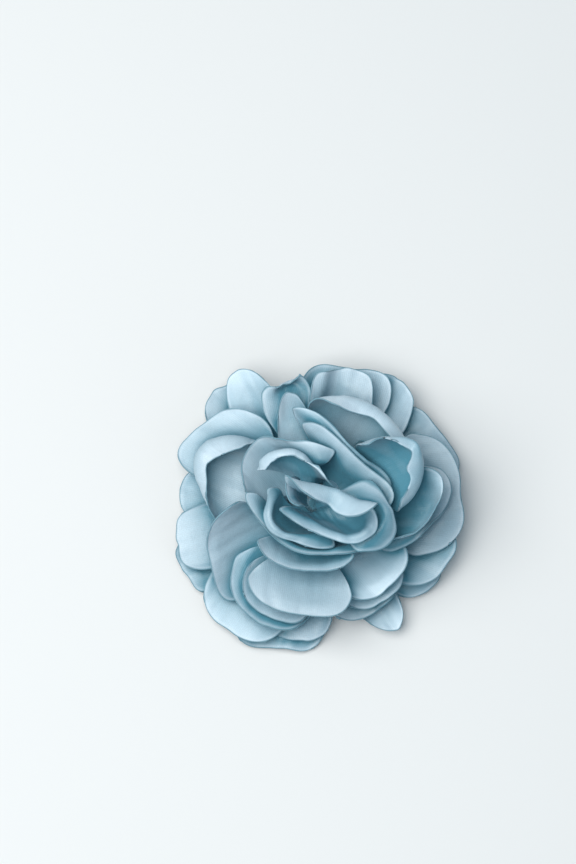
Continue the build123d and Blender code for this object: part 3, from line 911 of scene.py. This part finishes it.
class FlowerClipSettings(bpy.types.PropertyGroup):
    """Sizes and colours of the flower clip"""
    petal_lines: IntProperty(name="Petal Lines", description="Lines of the grid each way in a petal",
                             default=73, min=25, max=121)
    cloth_thick: FloatProperty(name="Cloth", description="Thickness of the satin", default=0.28 * MM,
                               subtype="DISTANCE", unit="LENGTH", precision=5)
    bead_thick: FloatProperty(name="Bead", description="Thickness of the melted edge", default=0.5 * MM,
                              subtype="DISTANCE", unit="LENGTH", precision=5)
    bead_wide: FloatProperty(name="Bead Width", description="Width of the melted edge", default=0.5 * MM,
                             subtype="DISTANCE", unit="LENGTH", precision=5)
    edge_line: FloatProperty(name="Edge Line", description="Width of the hot-cut line, in mm", default=0.42)
    line_fade: FloatProperty(name="Line Fade", description="How far the line has faded out at the root",
                             default=2 * MM, unit="LENGTH", precision=5)
    cut_wobble: FloatProperty(name="Cut", description="How uneven the petals are cut", default=0.022)
    flutter: FloatProperty(name="Flutter", description="Height of the small waves at the edge",
                           default=0.25 * MM, unit="LENGTH", precision=5)
    flutter_reach: FloatProperty(name="Flutter Reach", description="How far in the small waves go",
                                 default=4 * MM, unit="LENGTH", precision=5)
    flutter_wave: FloatProperty(name="Flutter Wave", description="Length of the small waves",
                                default=7 * MM, unit="LENGTH", precision=5)
    gather: FloatProperty(name="Gather", description="Depth of the gathers at the root",
                          default=0.12 * MM, unit="LENGTH", precision=5)
    gather_pitch: FloatProperty(name="Gather Pitch", description="Width of one gather",
                                default=2.4 * MM, unit="LENGTH", precision=5)
    crease: FloatProperty(name="Crease", description="Depth of the soft creases",
                          default=0.12 * MM, unit="LENGTH", precision=5)
    crease_wide: FloatProperty(name="Crease Width", description="Width of a soft crease",
                               default=3 * MM, unit="LENGTH", precision=5)
    crease_long: FloatProperty(name="Crease Length", description="Length of a soft crease",
                               default=11 * MM, unit="LENGTH", precision=5)
    thread_pitch: FloatProperty(name="Thread Pitch", description="From one thread to the next",
                                default=0.6 * MM, unit="LENGTH", precision=5)
    sky_rays: IntProperty(name="Sky Rays", description="Directions in which a petal looks for the sky",
                          default=20, min=6, max=64)
    sky_near: FloatProperty(name="Sky Near", description="Where the look at the sky starts",
                            default=0.8 * MM, unit="LENGTH", precision=5)
    sky_far: FloatProperty(name="Sky Far", description="How far another petal still hides the sky",
                           default=15 * MM, unit="LENGTH", precision=5)
    # Painted shade in the hollows: how much deeper the colour is painted where the petals hide the sky
    hollow_shade: FloatProperty(name="Hollow Shade", description="How much deeper the colour is in hollows",
                                 default=2.7)
    felt_thick: FloatProperty(name="Felt", description="Thickness of the felt pad", default=1.6 * MM,
                              unit="LENGTH", precision=5)
    clip_round: FloatProperty(name="Clip Rounding", description="Rounding of the strip's edges",
                              default=0.12 * MM, unit="LENGTH", precision=5)
    outer_colour: FloatVectorProperty(name="Outer Satin", description="Colour of the outer petals",
                                      subtype="COLOR", size=3, min=0, max=1, default=(0.58, 0.72, 0.81))
    # Colour of the innermost petals, and also of the painted shade in the hollows and towards the roots
    inner_and_shade_colour: FloatVectorProperty(name="Inner Satin", description="Colour of the innermost petals",
                                      subtype="COLOR", size=3, min=0, max=1, default=(0.08, 0.25, 0.33))
    # Colour of the hot-cut edge, the melt's own dark and a painted shadow line
    edge_and_shadow_colour: FloatVectorProperty(name="Edge", description="Colour of the hot-cut edge",
                                     subtype="COLOR", size=3, min=0, max=1, default=(0.05, 0.21, 0.28))
    # Colour of the painted highlight on the rolled rim
    rim_highlight_colour: FloatVectorProperty(name="Rim", description="Colour of the rolled rim beside the cut",
                                    subtype="COLOR", size=3, min=0, max=1, default=(0.66, 0.77, 0.85))
    metal_colour: FloatVectorProperty(name="Plate", description="Colour of the nickel plate",
                                      subtype="COLOR", size=3, min=0, max=1, default=(0.78, 0.76, 0.72))
    floor_colour: FloatVectorProperty(name="Floor", description="Colour of the floor", subtype="COLOR",
                                      size=3, min=0, max=1, default=(0.78, 0.78, 0.77))
    floor_size: FloatProperty(name="Floor Size", description="Side of the floor", default=4.0, unit="LENGTH")
    room_colour: FloatVectorProperty(name="Room", description="Colour of the room's light", subtype="COLOR",
                                     size=3, min=0, max=1, default=(0.60, 0.83, 1.0))
    room_light: FloatProperty(name="Room Light", description="Strength of the room's light", default=0.30)
    key_place: FloatVectorProperty(name="Key Place", description="Place of the main light", size=3,
                                   subtype="TRANSLATION", default=(-0.38, -0.02, 0.93))
    key_power: FloatProperty(name="Key Power", description="Power of the main light", default=12.5)
    fill_place: FloatVectorProperty(name="Fill Place", description="Place of the second light", size=3,
                                    subtype="TRANSLATION", default=(0.7, -0.5, 0.6))
    fill_power: FloatProperty(name="Fill Power", description="Power of the second light", default=1.0)


class FLOWERCLIP_OT_petals(bpy.types.Operator):
    """Make one ring of petals, laid on the rings under it"""
    bl_idname = "flowerclip.petals"
    bl_label = "Petals"
    ring: EnumProperty(name="Ring", description="Which petals are made",
                       items=[(key, key.replace("_", " ").title(), "") for key in PETALS])

    def execute(self, context):
        make = context.scene.flower_clip
        for seed, (name, row) in enumerate(petal_rows().items()):
            if name.startswith(self.ring):
                make_petal(name + "_satin", name, row, laid_heights()[name], seed, make)
        return {"FINISHED"}


class FLOWERCLIP_OT_hollows(bpy.types.Operator):
    """Work out where the petals close in on each other, for the painted shade there"""
    bl_idname = "flowerclip.hollows"
    bl_label = "Hollow Shade"

    def execute(self, context):
        make = context.scene.flower_clip
        petals = [bpy.data.objects[name + "_satin"] for name in petal_rows()]
        bm = bmesh.new()
        for petal in petals:
            bm.from_mesh(petal.data)
        tree = BVHTree.FromBMesh(bm)
        bm.free()
        for petal in petals:
            point_values(petal, "hollow", hidden_sky(petal, tree, make))
        return {"FINISHED"}


class FLOWERCLIP_OT_core(bpy.types.Operator):
    """Make the felt pad and the core that carries the petals"""
    bl_idname = "flowerclip.core"
    bl_label = "Felt Core"

    def execute(self, context):
        make_core(context.scene.flower_clip)
        return {"FINISHED"}


class FLOWERCLIP_OT_clip(bpy.types.Operator):
    """Make the sprung strip that holds the flower where it is worn"""
    bl_idname = "flowerclip.clip"
    bl_label = "Spring Clip"

    def execute(self, context):
        make_clip(context.scene.flower_clip)
        return {"FINISHED"}


class FLOWERCLIP_OT_stage(bpy.types.Operator):
    """Make the floor, the lights and the camera"""
    bl_idname = "flowerclip.stage"
    bl_label = "Stage"

    def execute(self, context):
        make_stage(context.scene.flower_clip)
        return {"FINISHED"}


class FLOWERCLIP_PT_panel(bpy.types.Panel):
    """The flower clip's steps and sizes"""
    bl_idname = "FLOWERCLIP_PT_panel"
    bl_label = "Flower Clip"
    bl_space_type = "VIEW_3D"
    bl_region_type = "UI"
    bl_category = "Flower Clip"

    def draw(self, context):
        make = context.scene.flower_clip
        for ring in PETALS:
            button = self.layout.operator("flowerclip.petals", text=ring.replace("_", " ").title())
            button.ring = ring
        for step in ("flowerclip.hollows", "flowerclip.core", "flowerclip.clip", "flowerclip.stage"):
            self.layout.operator(step)
        for key in FlowerClipSettings.__annotations__:
            self.layout.prop(make, key)


CLASSES = (FlowerClipSettings, FLOWERCLIP_OT_petals, FLOWERCLIP_OT_hollows, FLOWERCLIP_OT_core,
           FLOWERCLIP_OT_clip, FLOWERCLIP_OT_stage, FLOWERCLIP_PT_panel)


def register():
    for item in CLASSES:
        bpy.utils.register_class(item)
    bpy.types.Scene.flower_clip = PointerProperty(type=FlowerClipSettings)


def unregister():
    del bpy.types.Scene.flower_clip
    for item in reversed(CLASSES):
        bpy.utils.unregister_class(item)


def main():
    register()
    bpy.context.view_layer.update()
    bpy.ops.flowerclip.core()
    bpy.ops.flowerclip.clip()
    for ring in PETALS:
        bpy.ops.flowerclip.petals(ring=ring)
    bpy.ops.flowerclip.hollows()
    bpy.ops.flowerclip.stage()
    bpy.context.view_layer.update()


if __name__ == "__main__":
    main()
